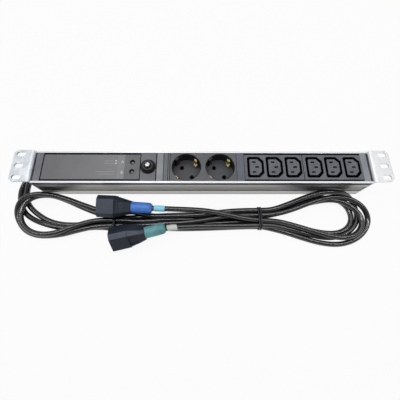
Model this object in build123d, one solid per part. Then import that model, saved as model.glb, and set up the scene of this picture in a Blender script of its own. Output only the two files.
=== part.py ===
from build123d import *
import math
import os

os.makedirs("parts", exist_ok=True)

# A rack transfer switch of one rack unit, in millimetres, lying on its back.
# X runs along the unit, +Y towards the edge that is uppermost in a rack, +Z out of the front.
# The origin is in the middle of the channel's back face.

# Rack standard
rack_unit = 44.45
slot_inset = 8.75
slot_edge = 6.35
slots_per_ear = 3

# Extruded channel, as long as the row of fronts in it
channel_play = 0.05
channel_depth = 43.0
channel_wall = 2.4
channel_back = 2.0
channel_back_radius = 1.5
snap_groove_depth = 0.9
snap_groove_z = 31.0
snap_groove_width = 2.4
front_groove_z = 36.6
front_groove_width = 5.0
side_recess_z = 14.5
side_recess_width = 14.5
outer_groove_depth = 0.7
screw_port_radius = 3.2
screw_port_bore = 1.75
screw_port_sink = 0.4

# Rack brackets
ear_reach = 25.3
ear_play = 0.45
ear_stand = 3.3
bracket_thickness = 2.0
bracket_bend_radius = 2.0
bracket_foot = 1.0
ear_chamfer = 4.0
slot_length = 11.6
slot_width = 6.4
bracket_screw_hole = 2.2
screw_head_radius = 3.3
screw_head_height = 2.2
screw_shank_radius = 1.7
screw_shank_length = 12.0
screw_recess_radius = 1.1

# Fronts that snap into the channel
face_recess = 0.4
panel_clearance = 0.2
panel_thickness = 2.0
panel_wall = 1.3
panel_skirt = 12.6
panel_edge_radius = 0.4
raised_height = 35.0
shoulder_drop = 3.0
shoulder_thickness = 1.6
hook_length = 7.0
hook_play = 0.15
hook_reach = 0.7
hook_end_distance = 12.0
joint_gap = 0.3

# Widths of the fronts and the gaps between them, from the left end to the right end
left_end_gap = 1.5
end_filler_width = 8.6
end_filler_gap = 1.7
plain_front_width = 72.0
plain_front_gap = 0.6
indicator_width = 50.8
indicator_gap = 0.8
breaker_front_width = 19.6
breaker_front_gap = 1.1
wide_strip_width = 8.4
strip_gap = 0.45
narrow_strip_width = 5.4
thin_strip_width = 1.75
socket_gap = 0.35
socket_filler_width = 9.7
outlet_front_gap = 0.6
right_filler_width = 8.3
right_end_gap = 2.0

# Label and indicator lamps
label_thickness = 0.25
label_height = 34.0
label_reach = 31.4
lamp_hole_radius = 3.4
lamp_pitch = 13.2
lamp_inset = 9.8
lamp_radius = 2.5
lamp_collar_radius = 2.9
lamp_collar_height = 1.0
lamp_sink = 1.2
lamp_board_size = (16.0, 28.0, 1.6)
lamp_board_depth = 9.0

# Resettable breaker
neck_radius = 6.5
neck_bore = 4.7
neck_stand = 5.0
neck_hole_play = 0.2
ring_nut_radius = 9.8
ring_nut_base = 1.6
ring_nut_height = 3.8
ring_nut_grip_radius = 8.4
ring_nut_flutes = 20
ring_nut_flute_radius = 0.7
thread_play = 0.06
button_play = 0.3
button_stand = 7.6
button_dome = 1.6
button_length = 19.0
button_travel = 3.0
button_foot_radius = 5.6
button_foot_height = 2.0
breaker_body_size = (15.0, 34.0, 24.0)
breaker_pocket_extra = 1.5
breaker_blade_size = (6.3, 0.8, 7.0)
breaker_blade_pitch = 14.0

# Earthed round sockets
round_web = 5.8
round_margin = 2.3
round_radius = 18.8
round_depth = 17.5
round_floor = 2.0
round_rim_chamfer = 0.5
pin_pitch = 19.0
pin_axis_angle = 135.0
pin_hole_radius = 2.9
guide_width = 5.2
guide_reach = 2.4
guide_drop = 1.5
clip_width = 4.6
clip_thickness = 0.8
clip_wall_gap = 0.35
clip_contact_radius = 14.6
clip_contact_drop = 10.0
clip_shoulder_drop = 14.5
clip_top_drop = 4.5
sleeve_outer = 3.2
sleeve_inner = 2.45
sleeve_length = 15.0

# Appliance outlets, three to a front
outlets_per_front = 3
outlet_web = 3.0
outlet_margins = (3.55, 1.55)
outlet_groove_size = (21.5, 29.2)
outlet_core_size = (15.3, 22.2)
outlet_groove_corner = (6.2, 1.6)
outlet_core_corner = (5.0, 1.2)
outlet_depth = 16.5
outlet_floor = 1.6
outlet_well_wall = 1.4
blade_pitch = 7.0
blade_offset = 2.0
blade_slot_size = (4.8, 2.1)
fork_leaf = 0.45
fork_play = 0.15
fork_drop = 3.0
fork_base = 2.5
tail_width = 4.0
tail_thickness = 0.8

# Busbars and their holders
busbar_width = 5.2
busbar_thickness = 1.0
power_bar_z = 12.0
busbar_end_margin = 9.0
holder_length = 6.0
holder_post_width = 4.0
holder_count = 4

# Control electronics
board_width = 34.0
board_thickness = 1.6
board_z = 10.0
board_offset = 2.0
standoff_radius = 3.0
standoff_inset = 7.0
relay_size = (12.8, 29.0, 16.0)
relay_pitch = 15.0
relay_count = 4
supply_size = (21.0, 26.0, 15.0)
relay_gap = 2.0
supply_gap = 7.0
terminal_size = (10.0, 30.0, 10.0)
terminal_poles = 6
terminal_hole_radius = 1.6
terminal_inset = 1.0
component_edge = 0.8

# Supply cords
cord_radius = 3.5
cord_play = 0.06
grommet_flange_radius = 5.6
grommet_flange = 2.4
grommet_body_radius = 4.8
grommet_tail = 1.5
exit_low = (14.0, 14.0)
exit_high = (2.5, 22.0)

# Appliance plugs
plug_size = (28.4, 20.8)
plug_corner = (5.0, 1.6)
plug_cavity = (24.4, 16.8)
plug_cavity_corner = (4.0, 1.0)
plug_cavity_depth = 17.0
plug_shroud_length = 22.2
plug_step = 0.5
plug_grip_size = (20.6, 17.6)
plug_grip_corner = (3.6, 1.2)
plug_grip_end = 34.5
plug_tail_size = (16.0, 13.6)
plug_tail_corner = (2.5, 0.8)
plug_length = 43.0
plug_panel_width = 14.0
plug_panel_depth = 0.9
plug_rib_inset = 2.6
plug_rib_width = 1.3
pin_size = (15.0, 2.0, 4.0)
pin_offset = 2.0
sleeve_radii = (7.6, 7.1, 4.6)
sleeve_reach = 26.0
sleeve_round = 6.0
tail_straight = 2.0
marker_radius = 3.95
marker_a_span = (2.6, 16.2)
marker_b_span = (2.4, 15.0)

# Where the plugs lie: middle of the mouth, turn about Z, roll about the plug's own length
plug_a_mouth = (-134.7, -46.3, 22.4)
plug_a_turn = -2.5
plug_a_roll = 15.4
plug_b_mouth = (-115.5, -90.2, 17.1)
plug_b_turn = 13.3
plug_b_roll = 52.0

# Hank of the two cords: heights of its one, two and raised layers
hank_low = 7.4
hank_high = 14.6
hank_left_height = 18.0
hank_arch_height = 27.0
hank_slope_length = 30.0
hank_reach = 260.0
hank_left_end = -121.0
hank_right_start = 80.0
tail_a_joint = -8.0
tail_b_joint = -20.0

# Wire ties round the hank
tie_wire = 1.3
tie_turn_width = 2.0
tie_turn_gap = 0.5
tie_play = 0.15
tie_knot_size = (5.5, 7.0, 3.0)
tie_left_x = -116.0
tie_right_x = 75.5

# Worked out from the sizes above
slot_pitch = (rack_unit - 2 * slot_edge) / (slots_per_ear - 1)
ear_height = rack_unit - ear_play
channel_height = rack_unit - channel_play
opening_height = channel_height - 2 * channel_wall
face_z = channel_depth - face_recess
panel_half = opening_height / 2 - panel_clearance
shoulder_z = face_z - shoulder_drop
skirt_z = face_z - panel_skirt
ear_front = channel_depth + ear_stand
ear_back = ear_front - bracket_thickness
port_y = opening_height / 2 + screw_port_sink - screw_port_radius
port_z = channel_back + screw_port_radius - screw_port_sink
round_pitch = 2 * round_radius + round_web
round_front_width = round_pitch + 2 * (round_radius + round_margin)
outlet_pitch = outlet_groove_size[0] + outlet_web
outlet_first = outlet_margins[0] + outlet_groove_size[0] / 2
outlet_front_width = sum(outlet_margins) + outlets_per_front * outlet_pitch - outlet_web

# Each front with the gap before it and its width, from the left end to the right end
front_row = (
    ("left_end_filler", left_end_gap, end_filler_width),
    ("plain_front", end_filler_gap, plain_front_width),
    ("indicator_front", plain_front_gap, indicator_width),
    ("breaker_front", indicator_gap, breaker_front_width),
    ("wide_strip", breaker_front_gap, wide_strip_width),
    ("narrow_strip", strip_gap, narrow_strip_width),
    ("thin_strip", strip_gap, thin_strip_width),
    ("round_socket_front", strip_gap, round_front_width),
    ("socket_filler", socket_gap, socket_filler_width),
    ("outlet_front_left", socket_gap, outlet_front_width),
    ("outlet_front_right", outlet_front_gap, outlet_front_width),
    ("right_end_filler", joint_gap, right_filler_width),
)
channel_length = sum(gap + width for name, gap, width in front_row) + right_end_gap
channel_end = channel_length / 2
rack_width = channel_length + 2 * ear_reach


def block(x, y, z):
    """A box between pairs of low and high coordinates."""
    spans = (x, y, z)
    size = [high - low for low, high in spans]
    middle = [(low + high) / 2 for low, high in spans]
    return Pos(*middle) * Box(*size)


def rod(x, y, z, radius):
    """An upright cylinder over a pair of heights."""
    return Pos(x, y, (z[0] + z[1]) / 2) * Cylinder(radius, z[1] - z[0])


def group(solids):
    """Separate solids that share one node."""
    return Compound(children=[solid for item in solids for solid in item.solids()])


def socket_outline(size, corner):
    """The outline of an appliance coupler: large corners on +X, the earth side."""
    half_x, half_y = size[0] / 2, size[1] / 2
    large, small = corner
    upper = [(-half_x, half_y - small), (-half_x + small, half_y),
             (half_x - large, half_y), (half_x, half_y - large)]
    lower = [(x, -y) for x, y in reversed(upper)]
    return make_face(Polyline(*upper, *lower, close=True))


# Channel and brackets

def housing_profile():
    half = channel_height / 2
    outline = Pos(0, channel_depth / 2) * Rectangle(channel_height, channel_depth)
    outline = fillet(outline.vertices().group_by(Axis.Y)[0], channel_back_radius)
    inside = channel_depth - channel_back
    section = outline - Pos(0, channel_back + inside / 2) * Rectangle(opening_height, inside)
    for side in (-1, 1):
        section += Pos(side * port_y, port_z) * Circle(screw_port_radius)
        section -= Pos(side * port_y, port_z) * Circle(screw_port_bore)
        for edge, low, width, depth in (
                (opening_height / 2, snap_groove_z, snap_groove_width, snap_groove_depth),
                (half - outer_groove_depth, front_groove_z, front_groove_width, outer_groove_depth),
                (half - outer_groove_depth, side_recess_z, side_recess_width, outer_groove_depth)):
            section -= Pos(side * (edge + depth / 2), low + width / 2) * Rectangle(depth, width)
    return extrude(Plane.YZ.offset(-channel_end) * section, channel_length)


def rack_bracket():
    """The right bracket: an ear in front, a bend, and a leg on the channel's end."""
    ear_end = rack_width / 2
    leg = (channel_end, channel_end + bracket_thickness)
    ear = block((channel_end, ear_end), (-ear_height / 2, ear_height / 2), (ear_back, ear_front))
    bracket = ear + block(leg, (-ear_height / 2, ear_height / 2), (bracket_foot, ear_front))
    along = bracket.edges().filter_by(Axis.Y)
    outer = along.sort_by_distance((leg[0], 0, ear_front))[0]
    inner = along.sort_by_distance((leg[1], 0, ear_back))[0]
    bracket = fillet(outer, bracket_bend_radius + bracket_thickness - 0.01)
    inner = bracket.edges().filter_by(Axis.Y).sort_by_distance(inner.center())[0]
    bracket = fillet(inner, bracket_bend_radius)
    corners = bracket.edges().filter_by(Axis.Z).group_by(Axis.X)[-1]
    bracket = chamfer(corners, ear_chamfer)
    for row in range(slots_per_ear):
        y = (row - (slots_per_ear - 1) / 2) * slot_pitch
        cut = extrude(SlotOverall(slot_length, slot_width), 2 * bracket_thickness, both=True)
        bracket -= Pos(ear_end - slot_inset, y, ear_front) * cut
    for side in (-1, 1):
        hole = Pos(leg[0], side * port_y, port_z) * Rot(0, 90, 0) * Cylinder(
            bracket_screw_hole, 4 * bracket_thickness)
        bracket -= hole
    return bracket


def left_bracket():
    bracket = mirror(rack_bracket(), Plane.YZ)
    for y, z in (exit_low, exit_high):
        bracket -= Pos(-channel_end, y, z) * Rot(0, 90, 0) * Cylinder(
            grommet_body_radius, 4 * bracket_thickness)
    return bracket


def bracket_screw():
    """A pan-head screw along +X, its head's seat at the origin."""
    head = Cylinder(screw_head_radius, screw_head_height, align=(Align.CENTER, Align.CENTER, Align.MIN))
    head = fillet(head.edges().group_by(Axis.Z)[-1], screw_head_height / 2)
    head -= Pos(0, 0, screw_head_height / 2) * extrude(
        RegularPolygon(screw_recess_radius, 6), screw_head_height)
    shank = Pos(0, 0, -screw_shank_length / 2) * Cylinder(screw_shank_radius, screw_shank_length)
    return Rot(0, 90, 0) * (head + shank)


def bracket_screws():
    seat = channel_end + bracket_thickness
    right = [Pos(seat, side * port_y, port_z) * bracket_screw() for side in (-1, 1)]
    return group(right + [mirror(screw, Plane.YZ) for screw in right])


# Snap-in fronts

def hooks(x):
    """The hooks of a front that sit in the channel's snap grooves."""
    low, high = x
    if high - low > 3 * hook_end_distance:
        middles = [low + hook_end_distance, high - hook_end_distance]
    else:
        middles = [(low + high) / 2]
    length = min(hook_length, (high - low) - 2 * joint_gap)
    z = (snap_groove_z + hook_play, snap_groove_z + snap_groove_width - hook_play)
    solids = []
    for middle in middles:
        span = (middle - length / 2, middle + length / 2)
        for side in (-1, 1):
            y = sorted((side * (panel_half - panel_wall), side * (panel_half + hook_reach)))
            hook = block(span, y, z)
            tip = hook.edges().filter_by(Axis.X).sort_by_distance(
                (middle, side * (panel_half + hook_reach), z[0]))[0]
            solids.append(chamfer(tip, hook_reach * 0.8))
    return solids


def flat_front(x):
    """A full-height front, open at its back unless it is a thin strip."""
    front = block(x, (-panel_half, panel_half), (skirt_z, face_z))
    rim = front.edges().group_by(Axis.Z)[-1]
    front = fillet(rim, min(panel_edge_radius, (x[1] - x[0]) / 5))
    if x[1] - x[0] > 3 * panel_wall:
        front -= block((x[0] + panel_wall, x[1] - panel_wall),
                       (-panel_half + panel_wall, panel_half - panel_wall),
                       (skirt_z, face_z - panel_thickness))
    for hook in hooks(x):
        front += hook
    return front


def raised_front(x):
    """A front whose face stands above two long shoulders."""
    half = raised_height / 2
    base = block(x, (-panel_half, panel_half), (skirt_z, shoulder_z))
    face = block(x, (-half, half), (skirt_z, face_z))
    face = fillet(face.edges().group_by(Axis.Z)[-1], panel_edge_radius)
    inner_x = (x[0] + panel_wall, x[1] - panel_wall)
    front = base + face
    front -= block(inner_x, (-panel_half + panel_wall, panel_half - panel_wall),
                   (skirt_z, shoulder_z - shoulder_thickness))
    front -= block(inner_x, (-half + panel_wall, half - panel_wall), (skirt_z, face_z - panel_thickness))
    for hook in hooks(x):
        front += hook
    return front


def layout():
    """The X span of each front, laid from the left end of the channel."""
    spans, x = {}, -channel_end
    for name, gap, width in front_row:
        spans[name] = (x + gap, x + gap + width)
        x += gap + width
    return spans


spans = layout()
lamp_x = spans["indicator_front"][1] - lamp_inset
breaker_x = sum(spans["breaker_front"]) / 2
round_middle = sum(spans["round_socket_front"]) / 2
round_centres = [round_middle - round_pitch / 2, round_middle + round_pitch / 2]
outlet_centres = {
    name: [spans[name][0] + outlet_first + outlet_pitch * i for i in range(outlets_per_front)]
    for name in ("outlet_front_left", "outlet_front_right")
}


def indicator_front():
    front = raised_front(spans["indicator_front"])
    for side in (-1, 1):
        front -= rod(lamp_x, side * lamp_pitch / 2, (skirt_z, face_z), lamp_hole_radius)
    return front


def front_label():
    """A thin label over the plain front and part of the indicator front."""
    x = (spans["plain_front"][0], spans["indicator_front"][0] + label_reach)
    return block(x, (-label_height / 2, label_height / 2), (face_z, face_z + label_thickness))


lamp_board_top = face_z - lamp_board_depth


def lamp_board():
    length, width, thickness = lamp_board_size
    board = block((lamp_x - length / 2, lamp_x + length / 2), (-width / 2, width / 2),
                  (lamp_board_top - thickness, lamp_board_top))
    for side in (-1, 1):
        post_y = side * (width / 2 - lamp_collar_radius)
        board += rod(lamp_x, post_y, (lamp_board_top, face_z - panel_thickness), lamp_radius / 2)
    return board


def indicator_lamps():
    """Two round lamps with a collar and a domed top."""
    height = face_z - lamp_sink - lamp_board_top
    outline = Polyline((0, 0), (lamp_collar_radius, 0), (lamp_collar_radius, lamp_collar_height),
                       (lamp_radius, lamp_collar_height), (lamp_radius, height - lamp_radius))
    dome = CenterArc((0, height - lamp_radius), lamp_radius, 0, 90)
    face = make_face(outline + dome + Line((0, height), (0, 0)))
    lamp = revolve(Plane.XZ * face, Axis.Z)
    return group([Pos(lamp_x, side * lamp_pitch / 2, lamp_board_top) * lamp for side in (-1, 1)])


# Breaker

neck_top = face_z + neck_stand
button_low = face_z + button_stand - button_length
breaker_top = face_z - panel_thickness


def breaker_front():
    front = flat_front(spans["breaker_front"])
    return front - rod(breaker_x, 0, (skirt_z, face_z), neck_radius + neck_hole_play)


def breaker_body():
    """A block under the front, its threaded neck, and two blades for the wires."""
    length, width, height = breaker_body_size
    low = breaker_top - height
    body = block((breaker_x - length / 2, breaker_x + length / 2), (-width / 2, width / 2),
                 (low, breaker_top))
    body = fillet(body.edges().filter_by(Axis.Z), component_edge)
    body += rod(breaker_x, 0, (breaker_top, neck_top), neck_radius)
    body -= rod(breaker_x, 0, (button_low, neck_top), neck_bore)
    chamber_top = button_low + button_foot_height + button_travel + button_play
    body -= rod(breaker_x, 0, (button_low - breaker_pocket_extra, chamber_top),
                button_foot_radius + button_play)
    blade_length, blade_thickness, blade_height = breaker_blade_size
    for side in (-1, 1):
        y = side * breaker_blade_pitch / 2
        body += block((breaker_x - blade_length / 2, breaker_x + blade_length / 2),
                      (y - blade_thickness / 2, y + blade_thickness / 2), (low - blade_height, low))
    return body


def breaker_ring_nut():
    """A flanged round nut with a fluted grip, on the breaker's neck."""
    nut = rod(0, 0, (0, ring_nut_base), ring_nut_radius)
    nut = fillet(nut.edges().group_by(Axis.Z)[-1], ring_nut_base / 3)
    grip = rod(0, 0, (0, ring_nut_height), ring_nut_grip_radius)
    grip = chamfer(grip.edges().group_by(Axis.Z)[-1], ring_nut_base / 3)
    for flute in PolarLocations(ring_nut_grip_radius + ring_nut_flute_radius / 2, ring_nut_flutes):
        grip -= flute * rod(0, 0, (ring_nut_base, ring_nut_height), ring_nut_flute_radius)
    nut = nut + grip - rod(0, 0, (0, ring_nut_height), neck_radius + thread_play)
    return Pos(breaker_x, 0, face_z) * nut


def reset_button():
    """The domed button in the neck, with a wider foot that keeps it in."""
    stem = rod(breaker_x, 0, (button_low, button_low + button_length), neck_bore - button_play)
    stem = fillet(stem.edges().group_by(Axis.Z)[-1], button_dome)
    return stem + rod(breaker_x, 0, (button_low, button_low + button_foot_height), button_foot_radius)


# Round sockets

recess_floor = face_z - round_depth
recess_back = recess_floor - round_floor
pin_axis = (math.cos(math.radians(pin_axis_angle)), math.sin(math.radians(pin_axis_angle)))


def pin_points(centre):
    """The two pin positions of a round socket."""
    return [(centre + side * pin_pitch / 2 * pin_axis[0], side * pin_pitch / 2 * pin_axis[1])
            for side in (-1, 1)]


def round_socket_front():
    front = flat_front(spans["round_socket_front"])
    cup_radius = panel_half
    for centre in round_centres:
        front += rod(centre, 0, (recess_back, face_z), cup_radius)
    for centre in round_centres:
        recess = rod(centre, 0, (recess_floor, face_z), round_radius)
        flare = Pos(centre, 0, face_z - round_rim_chamfer / 2) * Cone(
            round_radius, round_radius + round_rim_chamfer, round_rim_chamfer)
        for side in (-1, 1):
            guide = Pos(side * (round_radius - guide_reach / 2), 0, 0) * block(
                (-guide_reach / 2, guide_reach / 2), (-guide_width / 2, guide_width / 2),
                (recess_floor, face_z - guide_drop))
            recess -= Pos(centre, 0, 0) * Rot(0, 0, pin_axis_angle) * guide
        front -= recess
        front -= flare
        for x, y in pin_points(centre):
            front -= rod(x, y, (recess_back, recess_floor), pin_hole_radius)
        for side in (-1, 1):
            outer = round_radius - clip_wall_gap + joint_gap
            slot = block((outer - clip_thickness - 2 * joint_gap, outer),
                         (-clip_width / 2 - joint_gap, clip_width / 2 + joint_gap),
                         (recess_back, recess_floor))
            front -= Pos(centre, 0, 0) * Rot(0, 0, pin_axis_angle - 90 * side) * slot
    return front


def earth_spring():
    """A U-shaped earth spring: a yoke under the recess and two arms that bulge inwards."""
    wall = round_radius - clip_wall_gap - clip_thickness / 2
    yoke = recess_back - clip_thickness / 2
    bend = clip_thickness
    arm = [(wall, yoke), (wall, face_z - clip_shoulder_drop),
           (clip_contact_radius, face_z - clip_contact_drop),
           (wall - clip_thickness, face_z - clip_top_drop)]
    path = [(-x, z) for x, z in reversed(arm)] + arm
    centre_line = FilletPolyline(*path, radius=bend)
    ribbon = offset(centre_line, clip_thickness / 2, side=Side.BOTH)
    face = make_face(Plane.XZ * ribbon)
    return extrude(face, clip_width / 2, both=True)


def round_earth_springs():
    spring = Rot(0, 0, pin_axis_angle - 90) * earth_spring()
    return group([Pos(centre, 0, 0) * spring for centre in round_centres])


def round_pin_contacts():
    """Sleeves behind the recess floor that grip the pins of a plug."""
    sleeves = []
    for centre in round_centres:
        for x, y in pin_points(centre):
            z = (recess_back - sleeve_length, recess_back)
            sleeves.append(rod(x, y, z, sleeve_outer) - rod(x, y, z, sleeve_inner))
    return group(sleeves)


# Appliance outlets

well_back = face_z - outlet_depth - outlet_floor


def blade_points(centre):
    """Live, neutral and earth positions of one outlet."""
    return [(centre - blade_offset, blade_pitch), (centre - blade_offset, -blade_pitch),
            (centre + blade_offset, 0)]


def outlet_front(name):
    front = raised_front(spans[name])
    margin = 2 * outlet_well_wall
    well_size = [side + margin for side in outlet_groove_size]
    for centre in outlet_centres[name]:
        well = extrude(socket_outline(well_size, outlet_groove_corner), face_z - well_back)
        front += Pos(centre, 0, well_back) * well
    for centre in outlet_centres[name]:
        ring = socket_outline(outlet_groove_size, outlet_groove_corner)
        ring -= socket_outline(outlet_core_size, outlet_core_corner)
        front -= Pos(centre, 0, face_z - outlet_depth) * extrude(ring, outlet_depth)
        for x, y in blade_points(centre):
            half_x, half_y = blade_slot_size[0] / 2, blade_slot_size[1] / 2
            front -= block((x - half_x, x + half_x), (y - half_y, y + half_y), (well_back, face_z))
    return front


def fork_contact(tail_end):
    """Two spring leaves on a base, with a tail down to a busbar."""
    half_x = tail_width / 2
    half_y = blade_slot_size[1] / 2 - fork_play
    base = (well_back + fork_play, well_back + fork_base)
    contact = block((-half_x, half_x), (-half_y, half_y), base)
    for side in (-1, 1):
        y = sorted((side * half_y, side * (half_y - fork_leaf)))
        contact += block((-half_x, half_x), y, (base[0], face_z - fork_drop))
    half_tail = tail_thickness / 2
    return contact + block((-half_x, half_x), (-half_tail, half_tail), (tail_end, base[0]))


power_bar_top = power_bar_z + busbar_thickness
earth_bar_top = recess_back - clip_thickness


def outlet_contacts(name):
    contacts = []
    for centre in outlet_centres[name]:
        live, neutral, earth = blade_points(centre)
        contacts += [Pos(*live, 0) * fork_contact(power_bar_top),
                     Pos(*neutral, 0) * fork_contact(power_bar_top),
                     Pos(*earth, 0) * fork_contact(earth_bar_top)]
    return group(contacts)


# Busbars

bar_start = round_centres[0] - busbar_end_margin
bar_end = outlet_centres["outlet_front_right"][-1] + busbar_end_margin
power_bar_y = pin_pitch / 2 * abs(pin_axis[1])


def power_busbar(side):
    """A flat bar with a hole for each pin sleeve of its pole."""
    middle = side * power_bar_y
    bar = block((bar_start, bar_end), (middle - busbar_width / 2, middle + busbar_width / 2),
                (power_bar_z, power_bar_top))
    for centre in round_centres:
        for x, y in pin_points(centre):
            if y * side > 0:
                ring = rod(x, y, (power_bar_z, power_bar_top), sleeve_outer + busbar_thickness)
                bar = bar + ring - rod(x, y, (power_bar_z, power_bar_top), sleeve_outer)
    return bar


def earth_busbar():
    return block((bar_start, bar_end), (-busbar_width / 2, busbar_width / 2),
                 (earth_bar_top - busbar_thickness, earth_bar_top))


def busbar_holders():
    """Insulating feet that stand on the channel's back and carry the three bars."""
    half_y = power_bar_y + busbar_width / 2
    free_start = sum(spans["socket_filler"]) / 2
    step = (bar_end - free_start) / (holder_count - 1)
    feet = []
    for i in range(holder_count):
        middle = min(free_start + i * step, bar_end - holder_length / 2)
        x = (middle - holder_length / 2, middle + holder_length / 2)
        foot = block(x, (-half_y, half_y), (channel_back, power_bar_z))
        half_post = holder_post_width / 2
        foot += block(x, (-half_post, half_post), (channel_back, earth_bar_top - busbar_thickness))
        feet.append(foot)
    return group(feet)


# Control electronics

input_terminal_x = spans["plain_front"][0] + board_offset + terminal_inset
relay_start = input_terminal_x + terminal_size[0] + relay_gap
supply_start = relay_start + relay_count * relay_pitch
output_terminal_x = supply_start + supply_size[0] + supply_gap
board_x = (input_terminal_x - terminal_inset, output_terminal_x + terminal_size[0] + terminal_inset)
board_top = board_z + board_thickness


def control_board():
    half = board_width / 2
    return block(board_x, (-half, half), (board_z, board_top))


def board_standoffs():
    """Posts between the channel's back and the board."""
    half = board_width / 2 - standoff_inset
    return group([rod(x, y, (channel_back, board_z), standoff_radius)
                  for x in (board_x[0] + standoff_inset, board_x[1] - standoff_inset)
                  for y in (-half, half)])


def component(x, size):
    """A block with soft upper edges that stands on the board, its low X side at x."""
    body = block((x, x + size[0]), (-size[1] / 2, size[1] / 2), (board_top, board_top + size[2]))
    return fillet(body.edges().group_by(Axis.Z)[-1], component_edge)


def terminal_block(x):
    """A row of screw terminals with an opening above each screw."""
    block_body = component(x, terminal_size)
    pole = terminal_size[1] / terminal_poles
    for i in range(terminal_poles):
        y = (i + 0.5) * pole - terminal_size[1] / 2
        top = board_top + terminal_size[2]
        block_body -= rod(x + terminal_size[0] / 2, y, (top - terminal_size[2] / 2, top),
                          terminal_hole_radius)
    return block_body


def transfer_relays():
    return group([component(relay_start + i * relay_pitch, relay_size) for i in range(relay_count)])


def supply_module():
    return component(supply_start, supply_size)


# Supply cords: exits, hank and tails

def tube(points, radius, bends):
    """A round tube along straight runs joined by tangent arcs."""
    path = FilletPolyline(*points, radius=bends)
    start = Plane(origin=points[0], z_dir=path % 0)
    return sweep(start * Circle(radius), path=path)


def bend_radii(points):
    """The radius at each inner point: as large as its two runs allow."""
    places = [Vector(*point) for point in points]
    radii = []
    for before, here, after in zip(places, places[1:], places[2:]):
        turn = math.radians((here - before).get_angle(after - here))
        run = min((here - before).length, (after - here).length)
        radii.append(0.45 * run / math.tan(turn / 2))
    return radii


def cord_tube(name, points):
    radii = bend_radii(points)
    print(name, "bend radii", [round(radius, 1) for radius in radii])
    return tube(points, cord_radius, radii)


grommet_face = -channel_end - bracket_thickness - grommet_flange

low_exit_route = [
    (grommet_face + 4.0, exit_low[0], exit_low[1]),
    (-226.6, 14.0, 14.0),
    (-236.0, 10.4, 13.4),
    (-243.4, 3.2, 12.0),
    (-247.4, -6.4, 10.0),
    (-248.0, -17.0, 8.4),
    (-247.6, -28.0, 7.2),
    (-246.6, -40.0, 6.6),
]
high_exit_route = [
    (grommet_face + 4.0, exit_high[0], exit_high[1]),
    (-225.4, 2.5, 22.0),
    (-233.6, -0.6, 21.4),
    (-239.2, -7.0, 19.6),
    (-241.6, -15.4, 16.8),
    (-241.4, -24.6, 13.8),
    (-239.6, -35.0, 11.4),
]


def ring_face(outer, hole_list, radius):
    """A flat face from rounded closed outlines: one outside, and any number of holes."""
    face = make_face(FilletPolyline(*outer, radius=radius, close=True))
    for hole in hole_list:
        face -= make_face(FilletPolyline(*hole, radius=radius / 3, close=True))
    return face


left_loop_outline = [
    (hank_left_end, -48.8), (-146, -42.6), (-182, -31.5), (-206, -25), (-226, -24.4),
    (-241, -29.6), (-251.6, -38.5), (-252.6, -56), (-246, -71), (-233, -82), (-214, -87),
    (-192, -86), (-165, -79), (hank_left_end, -76),
]
left_loop_low_edge = [
    (hank_left_end, -48.8), (-146, -42.6), (-182, -31.5), (-200, -26.6), (-204, -33),
    (-184, -41), (-160, -52), (-152, -61.5), (hank_left_end, -62.6),
]
left_loop_voids = [
    [(-216, -32), (-231, -37.5), (-226, -47), (-212, -56), (-192, -62), (-168, -64.5),
     (-146, -60), (-150, -51.5), (-186, -38)],
    [(-233, -58), (-231.5, -66.5), (-221, -76), (-202, -77), (-189, -73.5), (-206, -70), (-222, -64)],
]
right_loop_outline = [
    (hank_right_start, -45.5), (92, -44.5), (114, -35.5), (137, -27), (160, -23), (196, -23),
    (211, -31), (224, -46), (226, -66), (217, -83), (199, -94), (174, -98), (146, -94.5),
    (110, -82), (hank_right_start, -73),
]
right_loop_void = [
    (98, -57), (124, -45.5), (150, -37), (176, -34.5), (192, -42), (199, -53), (197.5, -63),
    (188, -72), (170, -76.5), (148, -73), (122, -64),
]
right_arch = [
    (137, -27), (160, -23), (196, -23), (211, -31), (205.5, -36.5), (193, -30.6), (161, -30.6),
    (139.5, -34),
]
bundle_low_outline = [
    (hank_left_end, -48.8), (-110, -48.8), (-98, -46), (-88, -46), (-76, -50.5), (-55, -50.5), (-30, -48),
    (tail_a_joint, -45), (20, -44.6), (hank_right_start, -45.5), (hank_right_start, -73), (30, -73),
    (-30, -75.4), (-68, -73.4), (-95, -74.6), (hank_left_end, -76),
]
bundle_high_outline = [
    (hank_left_end, -62.6), (-92, -62.6), (-84, -55), (-68, -53), (tail_a_joint, -53),
    (tail_a_joint, -45), (20, -44.6), (hank_right_start, -45.5), (hank_right_start, -73), (30, -73),
    (tail_b_joint, -74.6), (tail_b_joint, -67), (-45, -66.8), (-80, -67.5), (-105, -75.5), (hank_left_end, -76),
]
hank_corner = 3.0


def tie_notch(x):
    """The hollow under the hank where a tie passes, seen as a box to cut away."""
    half = tie_turn_width + tie_turn_gap
    return block((x - half, x + half), (-hank_reach, 0), (0, tie_wire + tie_play))


def hank_left_loop():
    """The left bend of the hank: a low arm that the plug lies on, and the raised rest."""
    face = ring_face(left_loop_outline, left_loop_voids, hank_corner)
    raised = extrude(face, hank_left_height)
    low_zone = make_face(Polyline(*left_loop_low_edge, close=True))
    raised -= Pos(0, 0, hank_low) * extrude(low_zone, hank_left_height)
    raised -= block((hank_left_end - hank_slope_length, hank_left_end), (-hank_reach, 0),
                    (hank_high, hank_left_height))
    keep = block((-hank_reach, hank_left_end), (-hank_reach, 0), (0, hank_left_height))
    return raised & keep


def hank_bundle():
    """The straight middle of the hank: a wide lower layer and a narrower upper layer."""
    low = extrude(make_face(Polyline(*bundle_low_outline, close=True)), hank_low)
    high = extrude(make_face(Polyline(*bundle_high_outline, close=True)), hank_high)
    return low + high - tie_notch(tie_left_x) - tie_notch(tie_right_x)


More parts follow.
